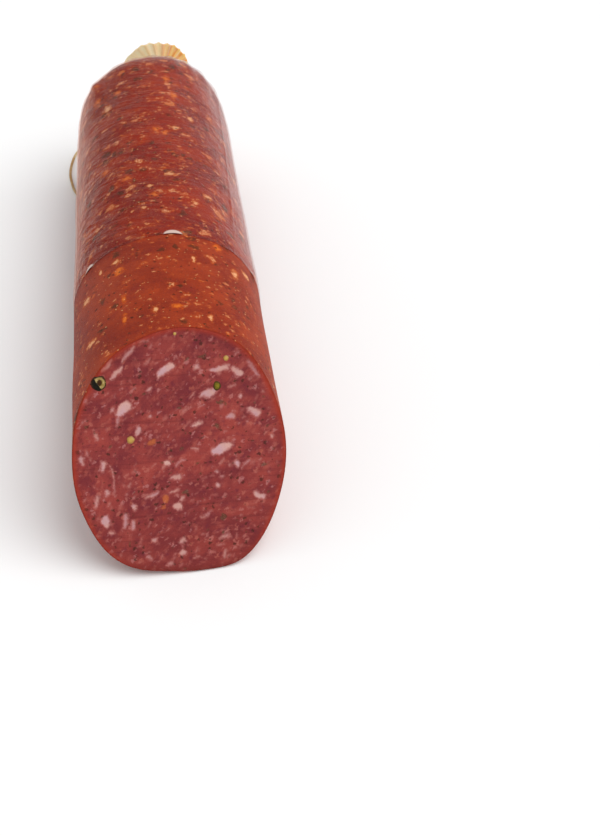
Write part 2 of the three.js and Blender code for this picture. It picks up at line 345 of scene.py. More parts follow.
def add_values(piece, name, values):
    """One number, or one vector, for each point of a piece."""
    values = np.asarray(values, np.float32)
    kind, key = ("FLOAT", "value") if values.ndim == 1 else ("FLOAT_VECTOR", "vector")
    piece.data.attributes.new(name, kind, "POINT").data.foreach_set(key, values.ravel())


def band_faces(rows, columns, start=0):
    """Quads between rows of points that close round."""
    faces = []
    for row in range(rows - 1):
        low = start + row * columns
        high = low + columns
        for column in range(columns):
            after = (column + 1) % columns
            faces.append((low + column, low + after, high + after, high + column))
    return faces


def tube_faces(rows, columns, start):
    """Quads between rows of points that close round, with a face over each end."""
    end = start + (rows - 1) * columns
    caps = [tuple(range(start + columns - 1, start - 1, -1)), tuple(range(end, end + columns))]
    return band_faces(rows, columns, start) + caps


def fan_faces(start, middle):
    """Triangles between a ring of points and its middle point."""
    return [(start + column, start + (column + 1) % COLUMNS, middle) for column in range(COLUMNS)]


def turned_over(faces):
    """Faces that look the other way."""
    return [face[::-1] for face in faces]


# Marbling of the cut face

def flow_shares(across, up):
    """Where the fat stands steeply, low at the left, and where it lies flat, low at the right."""
    steep = smooth(-12, -28, across) * smooth(18, -6, up)
    level = smooth(-2, -26, up) * smooth(-14, 4, across)
    return steep, level


def flow_angle(across, up):
    """The direction in which the fat lies, in degrees from level."""
    steep, level = flow_shares(across, up)
    return FLOW_MAIN + (FLOW_STEEP - FLOW_MAIN) * steep + (FLOW_LEVEL - FLOW_MAIN) * level


def capsule(places, across, up, length, width, angle):
    """How deep each place lies inside a rounded, tapered piece, in millimetres, less than 0 outside."""
    shortest, thin_end = 0.2, 0.45
    half = max(length - width, shortest) / 2
    step = half * np.array([math.cos(math.radians(angle)), math.sin(math.radians(angle))])
    start = np.array([across, up]) - step
    along = np.clip((places - start) @ (2 * step) / (4 * half * half), 0, 1)
    off = np.hypot(*(places - start - along[:, None] * 2 * step).T)
    bulge = np.sin(math.pi * (0.12 + 0.62 * along))
    return width / 2 * (thin_end + (1 - thin_end) * bulge) - off


def deepest(places, pieces):
    """How deep each place lies inside the nearest of some pieces."""
    depth = np.full(len(places), OUTSIDE)
    for piece in pieces:
        depth = np.maximum(depth, capsule(places, *piece))
    return depth


def wander(places, size, amount, seed):
    """Places moved about by smooth noise of the given size."""
    moved = [noise.noise_vector(Vector((x / size, y / size, seed)))[:2] for x, y in places]
    return places + amount * np.array(moved)


def marbling(places):
    """Fields of the cut face: depth inside fat, its tone, and depth inside pepper and orange bits."""
    small_pieces, crumbs, small_bits = 260, 60, 46
    piece_area = (-36, 36), (-43, 45)
    crumb_area = (-24, 24), (-43, -29)
    bit_area = (-35, 35), (-42, 44)
    noise.seed_set(SEED)
    generator = np.random.RandomState(SEED)

    def spot(area):
        """A random place across and up the cut."""
        return [generator.uniform(*span) for span in area]

    pieces = [(*piece, min(1, 0.35 + 0.17 * piece[3] + 0.25 * generator.rand())) for piece in FAT_PIECES]
    for _ in range(small_pieces):
        across, up = spot(piece_area)
        width = 0.35 + 0.9 * generator.rand() ** 2
        angle = flow_angle(across, up) + generator.normal(0, 16)
        length = width * generator.uniform(1.3, 3.4)
        pieces.append((across, up, length, width, angle, generator.uniform(0.1, 0.6)))
    for _ in range(crumbs):
        across, up = spot(crumb_area)
        width = 0.4 + 0.6 * generator.rand()
        pieces.append((across, up, 1.8 * width, width, generator.uniform(0, 180), 0.3))
    bits = list(PEPPER_BITS)
    for _ in range(small_bits):
        width = generator.uniform(0.4, 1.0)
        bits.append((*spot(bit_area), 1.5 * width, width, generator.uniform(0, 180)))

    shifted = wander(wander(places, 3.0, 0.8, 1), 1.1, 0.35, 2)
    fat = np.full(len(places), OUTSIDE)
    tone = np.zeros(len(places))
    for *piece, piece_tone in pieces:
        depth = capsule(shifted, *piece)
        tone = np.where(depth > fat, piece_tone, tone)
        fat = np.maximum(fat, depth)
    return fat, tone, deepest(shifted, bits), deepest(shifted, ORANGE_BITS)


# Materials

class Nodes:
    """The nodes of one material."""

    def __init__(self, name):
        self.material = bpy.data.materials.new(name)
        self.material.use_nodes = True
        self.tree = self.material.node_tree
        self.tree.nodes.clear()

    def node(self, kind, inputs, **settings):
        """A new node with its inputs linked or set."""
        node = self.tree.nodes.new("ShaderNode" + kind)
        for key, value in settings.items():
            setattr(node, key, value)
        for key, value in inputs.items():
            if isinstance(value, Value):
                self.tree.links.new(value.socket, node.inputs[key])
            else:
                node.inputs[key].default_value = value
        return node

    def add(self, kind, inputs, output=0, **settings):
        """What a new node gives at one of its outputs."""
        return Value(self, self.node(kind, inputs, **settings).outputs[output])

    def number(self, name):
        """A number that the points of the piece carry."""
        return self.add("Attribute", {}, "Fac", attribute_name=name)

    def place(self, name):
        """A place that the points of the piece carry."""
        return self.add("Attribute", {}, "Vector", attribute_name=name)

    def spot(self):
        """The place in the part's frame, in metres."""
        return self.add("TexCoord", {}, "Object")

    def surface(self, base, roughness, normal, **more):
        """The material with one plain surface, where words of a further socket are joined by lines."""
        inputs = {"Base Color": base, "Roughness": roughness, "Normal": normal}
        inputs.update({name.replace("_", " "): value for name, value in more.items()})
        return self.finish(self.add("BsdfPrincipled", inputs))

    def finish(self, shader):
        self.node("OutputMaterial", {"Surface": shader})
        return self.material


class Value:
    """A number, place, colour or surface that the nodes of a material work out."""

    def __init__(self, nodes, socket):
        self.nodes = nodes
        self.socket = socket

    def work(self, operation, first, second):
        """One sum, of numbers or of places."""
        kind = "Math" if self.socket.type == "VALUE" else "VectorMath"
        return self.nodes.add(kind, {0: first, 1: second}, operation=operation)

    def __add__(self, other):
        return self.work("ADD", self, other)

    def __sub__(self, other):
        return self.work("SUBTRACT", self, other)

    def __rsub__(self, other):
        return self.work("SUBTRACT", other, self)

    def __mul__(self, other):
        return self.work("MULTIPLY", self, other)

    def __truediv__(self, other):
        return self.work("DIVIDE", self, other)

    def least(self, other):
        return self.work("MINIMUM", self, other)

    def most(self, other):
        return self.work("MAXIMUM", self, other)

    def power(self, exponent):
        return self.work("POWER", self, exponent)

    def swing(self, amount):
        """Noise from 0 to 1 as a swing to both sides of 0."""
        return (self - 0.5) * amount

    def step(self, low, high):
        """Smooth step from 0 at low to 1 at high."""
        inputs = {"Value": self, "From Min": low, "From Max": high}
        return self.nodes.add("MapRange", inputs, "Result", interpolation_type="SMOOTHSTEP")

    def mix(self, first, second):
        """A blend of two colours by this share: values, screen values, or linear values with alpha."""
        shades = [colour(*shade) if isinstance(shade, tuple) and len(shade) == 3 else shade
                  for shade in (first, second)]
        return self.nodes.add("Mix", {0: self, 6: shades[0], 7: shades[1]}, 2, data_type="RGBA")

    def over(self, *layers):
        """This colour with layers laid over it in turn: the mask, strength and colour of each."""
        base = self
        for mask, strength, shade in layers:
            base = (mask * strength).mix(base, shade)
        return base

    def bump(self, distance):
        return self.nodes.add("Bump", {"Height": self, "Distance": distance, "Strength": 1})

    def part(self, axis):
        return self.nodes.add("SeparateXYZ", {0: self}, axis)

    def turned(self, degrees):
        """Places turned about the middle, in the plane of the surface."""
        inputs = {"Vector": self, "Angle": math.radians(degrees)}
        return self.nodes.add("VectorRotate", inputs, rotation_type="Z_AXIS")

    def noise(self, scale, detail=3, roughness=0.55, output="Fac"):
        inputs = {"Vector": self, "Scale": scale, "Detail": detail, "Roughness": roughness}
        return self.nodes.add("TexNoise", inputs, output)

    def nearest(self, pieces):
        """Distance to the nearest of some rounded pieces: 0 at its middle, 1 at its edge."""
        near = 9
        for across, along, half_width, half_length in pieces:
            scaled = (self - (across, along, 0)) / (half_width, half_length, 1)
            share = self.nodes.add("VectorMath", {0: scaled}, "Value", operation="LENGTH")
            near = share.least(near)
        return near

    def flecks(self, size, share, soft, seed, radii, ragged=0.12):
        """Scattered flecks, at most one to a cell: a mask, a random number for each, a glow round them."""
        loose = (self + (seed, 0, 0)).noise(1.8 / size[1], output="Color") - (0.5, 0.5, 0.5)
        shift = loose * (4 * ragged * size[0], 4 * ragged * size[1], 0)
        moved = self + shift + (13.7 * seed, 5.1 * seed, 0)
        inputs = {"Vector": moved / (*size, 1), "Scale": 1}
        cells = self.nodes.node("TexVoronoi", inputs, voronoi_dimensions="2D").outputs
        distance, shade = Value(self.nodes, cells["Distance"]), Value(self.nodes, cells["Color"])
        chance, spread, kind = (self.nodes.add("SeparateColor", {0: shade}, part) for part in range(3))
        shown = chance.work("LESS_THAN", chance, share)
        inside = spread.power(2.2) * (radii[1] - radii[0]) + radii[0] - distance
        return inside.step(-soft, soft) * shown, kind, inside.step(-0.4, 0.05) * shown


def skin_place(nodes):
    """Place on the log's skin in millimetres, round it and along it, and the place along its axis."""
    spot = nodes.spot() / (MILLIMETRE, MILLIMETRE, MILLIMETRE) - (ORIGIN[0], ORIGIN[1], AXIS_HEIGHT)
    x, y, z = (spot.part(axis) for axis in "XYZ")
    around = x.work("ARCTAN2", x, z) * MEAT_RADIUS
    inward = MEAT_RADIUS - (x * x + z * z).power(0.5)
    beyond = (y - DOME_START).most(0)
    along = (inward - beyond * 0.25) * 0.8 + y
    return nodes.add("CombineXYZ", {0: around, 1: along}), y


def rind_ground(turned, slanted, grain, cased, busy):
    """Colour of the skin under its flecks: brown red, with clouds, mottling, streaks and grain."""
    clouds = (turned * (0.7, 1, 1)).noise(0.055, 5).step(0.36, 0.64)
    mottle = (slanted * (0.65, 1, 1)).noise(0.15, 5, 0.62)
    streaks = (turned * (0.75, 1, 1)).noise(0.7, 4, 0.6)
    peeled = clouds.mix((138, 47, 30), (163, 62, 34))
    covered = clouds.mix((134, 36, 28), (161, 46, 21))
    return cased.mix(peeled, covered).over(
        (mottle.step(0.48, 0.32), busy * 0.5, (112, 33, 42)),
        (mottle.step(0.54, 0.7), busy * 0.5, (192, 70, 20)),
        (streaks.step(0.55, 0.75), 0.22, (196, 84, 34)),
        (streaks.step(0.46, 0.26), 0.36, (84, 36, 22)),
        (grain.step(0.5, 0.25), 0.42, (88, 32, 18)),
        (grain.step(0.54, 0.78), 0.46, (206, 104, 56)),
    )


def rind_pieces(place):
    """Layers of the larger herbs and pieces of orange and cream fat in the skin, with ragged edges."""
    ragged = place.noise(0.55, 4, 0.65).swing(3)
    kinds = RIND_HERBS, RIND_ORANGE, RIND_CREAM
    herbs, orange, cream = (place.nearest(pieces) + ragged for pieces in kinds)
    return (
        (herbs.step(1.2, 0.5), 0.62, (62, 44, 26)),
        (orange.step(1.3, 0.4), 0.75, (208, 90, 26)),
        (orange.step(0.7, 0.1), 0.6, (226, 126, 48)),
        (cream.step(1.3, 0.6), 0.7, (208, 104, 44)),
        (cream.step(0.9, 0.3), 0.74, (234, 180, 130)),
    )


def rind_material():
    """Skin of the log: brown red with orange and cream fat flecks and small painted highlights, redder and
    busier under the casing.
    """
    nodes = Nodes("rind")
    place, y = skin_place(nodes)
    turned, slanted = place.turned(11), place.turned(-9)
    grain = place.noise(1.6, 4, 0.65)
    cased = y.step(PEELED_LENGTH - 0.3, PEELED_LENGTH + 0.3)
    busy = cased * 0.4 + 0.6
    bunched = turned.noise(0.075, 2).step(0.34, 0.62)
    often = busy * (bunched * 0.6 + 0.12)
    fewer = often * (cased * 0.45 + 0.4)
    broken = grain.step(0.4, 0.6)
    herb, _, _ = slanted.flecks((7.6, 7.2), busy * 0.5, 0.12, 11, (0.06, 0.3), 0.25)
    cream, cream_kind, cream_glow = turned.flecks((6.2, 5.8), fewer, 0.1, 17, (0.05, 0.33), 0.36)
    small, small_kind, small_glow = slanted.flecks((3, 2.7), often, 0.1, 23, (0.05, 0.3), 0.32)
    dots, _, _ = turned.flecks((2.8, 2.2), 0.34, 0.07, 31, (0.05, 0.24), 0.2)
    # painted highlights: small pale glints painted into the skin's colour
    painted_glints, _, _ = turned.flecks((2.8, 2.2), bunched * 0.35 + 0.12, 0.04, 41, (0.03, 0.12))
    base = rind_ground(turned, slanted, grain, cased, busy).over(
        (herb, 0.66, (66, 44, 26)),
        (cream_glow, 0.36, (204, 86, 28)),
        (cream, 0.6, (206, 100, 42)),
        (cream * broken, 0.8, cream_kind.mix((216, 124, 58), (236, 188, 142))),
        (small_glow, 0.22, (200, 86, 34)),
        (small, broken * 0.45 + 0.35, small_kind.mix((204, 98, 42), (228, 160, 110))),
        *rind_pieces(place),
        (dots, 0.76, (48, 30, 20)),
        (painted_glints, 0.75, (236, 188, 128)),
    )
    height = (cream + small) * 0.25 + grain * 0.8
    return nodes.surface(base, grain * 0.3 + 0.3, height.bump(0.0003), Specular_IOR_Level=0.03)


def face_material():
    """Cut face: red pink lean, pale fat that lies along the flow, pepper, and an orange red rim, with painted
    shade towards its bottom.
    """
    nodes = Nodes("cut_face")
    place = nodes.place("face_place")
    steep, level = nodes.number("steep"), nodes.number("level")
    ways = [place.turned(-angle) for angle in (FLOW_MAIN, FLOW_STEEP, FLOW_LEVEL)]

    def flowing(scale, stretch):
        """Noise drawn out along the flow of the face."""
        main, upright, flat = ((way * (stretch, 1, 1)).noise(scale, 5, 0.62) for way in ways)
        blend = nodes.add("Mix", {0: steep, 2: main, 3: upright})
        return nodes.add("Mix", {0: level, 2: blend, 3: flat})

    up = place.part("Y")
    upper = up.step(-40, 0)
    clouds = flowing(0.1, 0.7).step(0.38, 0.62)
    streaks = flowing(0.42, 0.55)
    knife = (place.turned(4) * (0.02, 0.7, 1)).noise(1, 4, 0.6)
    grain = place.noise(2.4, 4, 0.7)
    bits, kind, _ = ways[0].flecks((2.8, 2), 0.6, 0.14, 3, (0.08, 0.36), 0.34)
    speckled = place.noise(0.14, 2).step(0.4, 0.62) * 0.46 + 0.1
    dots, _, _ = place.flecks((2.2, 1.8), speckled, 0.08, 7, (0.07, 0.36), 0.3)
    lean = clouds.mix((120, 42, 46), (156, 63, 56)).over(
        # painted shade: the lower part of the face darkened
        (1 - upper, 0.35, (112, 36, 34)),
        (up.step(10, 45), 0.3, (112, 38, 42)),
        (place.noise(0.34, 4, 0.6).step(0.46, 0.3), 0.6, (108, 34, 48)),
        (streaks.step(0.5, 0.68), 0.5, (173, 86, 75)),
        (grain.step(0.5, 0.22), 0.4, (92, 26, 30)),
        (knife.step(0.47, 0.3), 0.45, (100, 30, 34)),
        (bits, 0.52, kind.mix((180, 92, 74), (194, 128, 126))),
        (dots, 0.74, (60, 28, 16)),
    )

    ragged = place.noise(1.3, 4, 0.65).swing(1.3)
    depth, orange, pepper = (nodes.number(name) + ragged for name in ("fat", "orange", "pepper"))
    fat = depth.step(-0.6, 0.55)
    tone = nodes.number("fat_tone")
    heart = place.noise(0.13, 2).step(0.42, 0.6).mix((208, 160, 150), (199, 156, 161))
    pale = depth.step(-0.2, 0.9).mix((186, 114, 108), heart)
    inset = nodes.number("rim") + ragged * 0.6
    edge = up.step(-42, -30).mix((104, 34, 26), (164, 49, 25))
    base = lean.over(
        (fat, tone * 0.5 + 0.46, tone.mix((170, 86, 78), pale)),
        (orange.step(-0.45, 0.6), 0.62, (200, 106, 54)),
        (pepper.step(-0.35, 0.4), 0.7, grain.step(0.4, 0.62).mix((52, 34, 26), (108, 82, 54))),
        (inset.step(6, 0.5), 0.22, (116, 34, 30)),
        (inset.step(2.6, 0), upper * 0.2 + 0.55, edge),
    )
    height = fat * -0.35 + streaks + grain * 0.6 + knife * 0.5
    return nodes.surface(base, grain * 0.3 + 0.28, height.bump(0.0004), Specular_IOR_Level=0.14)


def film_material():
    """Clear casing film: glossy, streaked by faint wrinkles, whitish where it gathers, with a painted glint
    where it stands loose and a painted shade line along its front edge.
    """
    nodes = Nodes("casing_film")
    place, _ = skin_place(nodes)
    ripple = (place * (1, 0.25, 1)).noise(0.45, 4)
    arcs = (place.turned(14) * (0.16, 1, 1)).noise(0.55, 4, 0.6)
    wrinkled = (ripple + arcs * 0.6).bump(0.0004)
    lifted, gathered, trim = (nodes.number(name) for name in ("lifted", "gathered", "trim"))

    # painted shade: a dark red-brown line on the film's edge strip, partly the film's edge seen end-on and
    # partly the shade under the edge's step, broken along its length
    broken_shade = place.noise(0.12).step(0.35, 0.6)
    cover = gathered * 0.75 + lifted * 0.8 + trim * broken_shade * 0.13 + 0.02
    tone = gathered.mix((196, 148, 138), (176, 120, 92))
    # painted highlight: the loose spots of film painted near white
    tone = lifted.mix(tone, (244, 218, 204))
    tone = trim.mix(tone, (98, 34, 24))
    body = nodes.add("BsdfPrincipled", {"Base Color": tone, "Roughness": 0.35, "Normal": wrinkled})
    clear = nodes.add("BsdfTransparent", {"Color": (0.97, 0.96, 0.96, 1)})
    film = nodes.add("MixShader", {0: cover.least(0.94), 1: clear, 2: body})

    shine = nodes.add("Fresnel", {"IOR": 1.25, "Normal": wrinkled}) - 0.018
    shine = shine.most(0.022).least(0.46)
    right = place.part("X").step(-10, 20)
    streak = arcs.step(0.45, 0.57) * (right * -0.55 + 0.95) + right * 0.56 + 0.05
    streak = streak.most(shine.step(0.14, 0.36) * 0.85) * (1 - trim.most(lifted))
    gloss = nodes.add("BsdfGlossy", {
        "Color": right.mix((1, 0.72, 0.62, 1), (1, 0.93, 0.92, 1)),
        "Roughness": ripple * 0.2 + 0.12,
        "Normal": wrinkled,
    })
    return nodes.finish(nodes.add("MixShader", {0: shine * streak, 1: film, 2: gloss}))


def tail_material():
    """Gathered film: cream, golden at the right, with golden painted shade in its folds and darker painted
    shade at the neck, and fine lines out from the neck.
    """
    nodes = Nodes("gathered_film")
    place = nodes.place("pleat_place")
    fold = nodes.number("fold")
    along = place.part("Y")
    lines = (place * (26, 0.8, 26)).noise(1)
    clouds = place.noise(2.6)
    right = (clouds * 0.6 + place.part("X")).step(-0.15, 0.85) * along.step(1.55, 2.1)
    valley = right.mix((255, 200, 126), (240, 128, 30))
    ridge = right.mix((255, 222, 158), (255, 176, 62))
    over_meat = ((fold + lines) * 0.25 + along).step(0.9, 0.36)
    # painted shade: the fold valleys take the golden valley colour, the ridges the paler one
    base = fold.step(-0.5, 0.4).mix(valley, ridge).over(
        (clouds.step(0.46, 0.68), 0.35, (255, 194, 112)),
        (lines.step(0.5, 0.72), 0.4, (255, 230, 178)),
        # painted shade: darker at the neck and in the hollow in the middle of the frill
        (along.step(1.7, 1.3), 0.55, (206, 148, 92)),
        (over_meat, 1, (132, 64, 48)),
    )
    return nodes.surface(base, lines * 0.2 + 0.32, lines.bump(0.0002), Subsurface_Weight=0.6,
                         Subsurface_Radius=(0.004, 0.004, 0.004), Subsurface_Scale=1)


def twine_material():
    """Twisted cotton: tan, with fibres and soiled stretches."""
    nodes = Nodes("cotton_twine")
    fibre = nodes.spot().noise(3200, 4, 0.7)
    clean = nodes.spot().noise(70).step(0.4, 0.66)
    base = clean.mix((190, 146, 86), (228, 202, 154)).over((fibre.step(0.48, 0.7), 0.5, (236, 218, 180)))
    return nodes.surface(base, 0.85, fibre.bump(0.0002), Sheen_Weight=0.3)


def peppercorn_material():
    """Cut peppercorn: a cream ring, broken off at its left, round a brown hollow, in a dark wrinkled skin."""
    nodes = Nodes("cut_peppercorn")
    place = nodes.place("grain_place")
    grain = nodes.spot().noise(1500)
    wobble = grain.swing(0.45)
    out = place.nearest([(0, 0, 1, 1)]) + wobble
    hollow = place.nearest([(0.1, 0.08, 0.3, 0.38)]) + wobble
    slope = nodes.add("VectorMath", {0: place, 1: (0.87, 0.49, 0)}, "Value", operation="DOT_PRODUCT")
    right = (wobble * 0.5 + slope).step(-0.18, -0.06)
    within = out.step(0.84, 0.68)
    skin = out.step(0.74, 1.05).mix((26, 19, 11), (88, 46, 30))
    inside = right.mix((22, 20, 12), (62, 34, 12))
    cream = grain.step(0.4, 0.65).mix((142, 118, 58), (178, 156, 104))
    base = within.mix(skin, inside).over((within * right, hollow.step(0.8, 1.2), cream))
    return nodes.surface(base, 0.42, grain.bump(0.0004), Specular_IOR_Level=0.1)


def seed_material():
    """Mustard seed: warm yellow, with painted shade darkening it towards the edge of its dome, and a fine
    pitted skin.
    """
    nodes = Nodes("mustard_seed")
    grain = nodes.spot().noise(1800)
    # painted shade: darker towards the edge of the rounded seed
    side = nodes.number("heart").step(0.25, 1)
    base = side.mix((184, 146, 62), (150, 98, 42)).over((grain.step(0.45, 0.7), 0.35, (200, 166, 84)))
    return nodes.surface(base, 0.38, grain.bump(0.00015))


def green_material():
    """Bit of green pepper: olive, darker and browner towards its skin."""
    nodes = Nodes("green_pepper")
    grain = nodes.spot().noise(1100)
    side = (nodes.number("heart") + grain.swing(0.7)).step(0.25, 0.85)
    base = side.mix((126, 112, 28), (66, 48, 16)).over((grain.step(0.52, 0.68), 0.5, (60, 52, 14)))
    return nodes.surface(base, 0.4, grain.bump(0.0004), Specular_IOR_Level=0.1)


# Pieces

def meat_side(cut):
    """Rings of the log's side from behind its tip to the cut, and its tip."""
    plain_from = 60
    start = cut + CUT_ROUND
    rows = [ring(1, start + (plain_from - start) * share, 0, 0) for share in np.linspace(0, 1, 34) ** 1.3]
    near_film = PEELED_LENGTH + np.array([-2.5, -1.9, -1.3, -0.5])
    for y in (*np.linspace(64, 88, 7), *near_film, *np.linspace(96, DOME_START, 40)):
        rows.append(ring(1, y, 0, FILM_OUT * smooth(PEELED_LENGTH - 2.6, PEELED_LENGTH - 1.3, y)))
    *dome, (_, tip_y) = dome_places(0, 26)
    rows += [ring(across, y, 0, FILM_OUT) for across, y in dome]
    return rows[::-1], [[TIP_SIDE, tip_y, AXIS_HEIGHT + TIP_RISE]]


def make_meat():
    """The log, with a rounded edge round its cut face."""
    cut = cut_line()
    side_rows, tip = meat_side(cut)
    corner = ring(1, cut, 0, 0)
    rim_across = corner[:, 0]
    rim_up = (corner[:, 2] - AXIS_HEIGHT) / math.cos(CUT_TILT)
    reach = np.hypot(rim_across, rim_up)
    inner = 1 - CUT_ROUND / reach
    bend = 0.3 * corner + 0.35 * (side_rows[-1] + on_face(rim_across * inner, rim_up * inner))

    shares = np.linspace(1, 0, FACE_ROWS + 1)[:-1]
    across = np.append(np.outer(shares, rim_across * inner), 0)
    up = np.append(np.outer(shares, rim_up * inner), 0)
    rim = np.append(reach - np.outer(shares, reach * inner), reach.mean())
    places = np.stack([across, up], -1)
    fat, tone, pepper, orange = marbling(places)
    waves = np.array([noise.noise(Vector((x / RELIEF_SIZE, y / RELIEF_SIZE, 4))) for x, y in places])
    lift = (RELIEF_HEIGHT * waves - FAT_SUNK * smooth(-0.1, 0.3, fat)) * smooth(0.4, 2.5, rim)

    side_points = np.concatenate(side_rows + [bend])
    points = np.concatenate([side_points, on_face(across, up, lift), tip])
    face_middle, tip_point = len(points) - 2, len(points) - 1
    bands = band_faces(len(side_rows) + 1 + FACE_ROWS, COLUMNS)
    face_fan = fan_faces(face_middle - COLUMNS, face_middle)
    tip_fan = turned_over(fan_faces(0, tip_point))
    on_side = len(side_rows) * COLUMNS
    slots = [0] * on_side + [1] * (len(bands) + len(face_fan) - on_side) + [0] * len(tip_fan)
    faces = bands + face_fan + tip_fan
    piece = new_object("salami_log", points, faces, [rind_material(), face_material()], slots)

    side = len(side_points)
    steep, level = flow_shares(across, up)
    for name, values, elsewhere in (
        ("fat", fat, OUTSIDE), ("pepper", pepper, OUTSIDE), ("orange", orange, OUTSIDE),
        ("fat_tone", tone, 0.0), ("rim", rim, 0.0), ("steep", steep, 0.0), ("level", level, 0.0),
    ):
        add_values(piece, name, np.concatenate([np.full(side, elsewhere), values, [elsewhere]]))
    flat = np.stack([across, up, 0 * across], -1)
    add_values(piece, "face_place", np.concatenate([np.zeros((side, 3)), flat, np.zeros((1, 3))]))
    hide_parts("meat")


def along_neck(distance):
    """Middle of the gathered film and its tilt, at a distance behind the tip along its bent axis."""
    bend = NECK_START / NECK_TILT
    tilt = NECK_TILT * np.clip(distance / NECK_START, 0, 1)
    straight = distance - tilt * bend
    y = LOG_LENGTH + bend * np.sin(tilt) + straight * np.cos(tilt)
    z = AXIS_HEIGHT + TIP_RISE + bend * (1 - np.cos(tilt)) + straight * np.sin(tilt)
    return y, z, tilt


def round_neck(radius, distance):
    """Points round the gathered film's bent axis at the angles of the columns."""
    y, z, tilt = along_neck(distance)
    up = -radius * np.cos(ANGLES)
    return np.stack([TIP_SIDE + radius * np.sin(ANGLES), y - up * np.sin(tilt), z + up * np.cos(tilt)], -1)


def pleat_wave():
    """Folds round the neck, sharp like folded film, deeper at the right."""
    turn = PLEATS * ANGLES + 0.9 * np.sin(2 * ANGLES + 0.7) + 0.7 * np.sin(5 * ANGLES)
    fold = np.arcsin(0.95 * np.cos(turn)) * 2 / math.pi
    depth = 0.62 + 0.30 * np.sin(ANGLES) + 0.22 * np.sin(4 * ANGLES + 1)
    return fold * depth


def film_stand(y):
    """How far the film's outside stands off the meat, and how strong the painted glint on its loose spots is.
    """
    stand = EDGE_STAND + (FILM_OUT - EDGE_STAND) * smooth(0, EDGE_HUG, y - PEELED_LENGTH)
    white = 0 * ANGLES
    for angle, width, length in LOOSE_SPOTS:
        off = (ANGLES - math.radians(angle) + math.pi) % math.tau - math.pi
        out = np.hypot(off / math.radians(width), (y - PEELED_LENGTH) / length)
        stand = stand + LOOSE_HEIGHT * np.maximum(0, 1 - out ** 2)
        white = white + 0.9 * smooth(1.0, 0.75, out)
    return stand, np.minimum(white, 1)


def film_folds(y):
    """Folds of the film that run in from the shoulder to the neck, and the long crease at the right."""
    start = FOLDS_START + 14 * np.sin(4 * ANGLES + 1) + 8 * np.sin(11 * ANGLES)
    folds = FOLDS_HEIGHT * pleat_wave() * smooth(start, start + FOLDS_RUN, y) ** 1.5
    off = (ANGLES - CREASE_ANGLE - CREASE_TURN * (CREASE_END - y)) * MEAT_RADIUS
    crease = np.exp(-(off / CREASE_WIDTH) ** 2) * smooth(*CREASE_FRONT, y) * smooth(*CREASE_REAR, y)
    return folds + CREASE_HEIGHT * crease


class Rows:
    """Rings of points, and the values that each ring carries for the materials."""

    def __init__(self, *names):
        self.points = []
        self.values = {name: [] for name in names}

    def add(self, points, **values):
        self.points.append(points)
        for name, kept in self.values.items():
            kept.append(values.get(name, 0.0) + 0 * ANGLES)


def add_film(rows, wave):
    """The film from its front edge, which turns in underneath, to where the skirt begins."""
    edge = PEELED_LENGTH
    # The edge strip, which turns in underneath, carries the painted shade line along the film's edge
    rows.add(ring(1, edge + TURN_IN, TURN_IN_STAND, TURN_IN_FLOOR), trim=1)
    rows.add(ring(1, edge, EDGE_STAND - EDGE_FILM, TURN_IN_FLOOR), trim=1)
    for y in (*(edge + np.array(EDGE_STEPS)), *np.linspace(108, DOME_START, 44)):
        stand, white = film_stand(y)
        rows.add(ring(1, y, stand + film_folds(y), 0), lifted=white, trim=float(y == edge))
    for across, y in dome_places(FILM_OUT, 44):
        radius = across * MEAT_RADIUS
        if radius < SKIRT_RADIUS + SKIRT_GAP:
            break
        gathered = 0.5 * smooth(*GATHER_RADII, radius)
        rows.add(ring(across, y, FILM_OUT + film_folds(y), 0), gathered=gathered, fold=wave)


def add_neck(rows, wave):
    """The skirt that draws in to the neck, and the neck."""
    pleated = 1 + NECK_PLEAT * wave
    for share in np.linspace(0, 1, 22):
        radius = NECK_RADIUS + (SKIRT_RADIUS - NECK_RADIUS) * (1 - share) ** 2
        rows.add(round_neck(radius * pleated, NECK_START * share), fold=wave, distance=NECK_START * share)
    for distance in np.linspace(NECK_START + 0.6, NECK_END, 5):
        rows.add(round_neck(NECK_RADIUS * pleated, distance), fold=wave, distance=distance)


def add_frill(rows, wave):
    """The frill, out along its front and back along its rear, and the hollow in its middle."""
    left = np.maximum(0, -np.sin(ANGLES)) ** 2
    from_top = np.degrees(np.arctan2(np.sin(ANGLES), -np.cos(ANGLES)))
    corners = sum(np.exp(-((from_top - middle) / spread) ** 2) for middle, spread in TAIL_CORNERS)
    waver = np.sin(5 * (math.pi - ANGLES) + 2)
    rim = TAIL_LEFT_REACH * left + TAIL_WAVER * waver + TAIL_CORNER_REACH * corners
    outward = np.linspace(0.04, 1, 24)
    for side, shares in ((0, outward), (TAIL_FILM, outward[::-1])):
        for share in shares:
            radius = NECK_RADIUS + (TAIL_RADIUS - NECK_RADIUS) * share
            opened = smooth(0, 1, share)
            lean = TAIL_LEAN * np.maximum(0, -radius * np.cos(ANGLES))
            distance = NECK_END + TAIL_DEPTH * share ** 0.7 + side + (PLEAT_DEPTH * wave + lean) * opened
            reach = radius + (rim + TAIL_FLARE * np.abs(wave)) * opened
            rows.add(round_neck(reach, distance), fold=wave, distance=NECK_END + TAIL_RUN * share)
    for share in np.linspace(0.9, 0, 8)[:-1]:
        radius = NECK_RADIUS * share * (1 + 0.1 * wave) + 0.02
        depth = HOLLOW * (1 - share) ** 0.8
        rows.add(round_neck(radius, NECK_END + TAIL_FILM - depth), fold=wave,
                 distance=NECK_START + (NECK_END - NECK_START) * share)


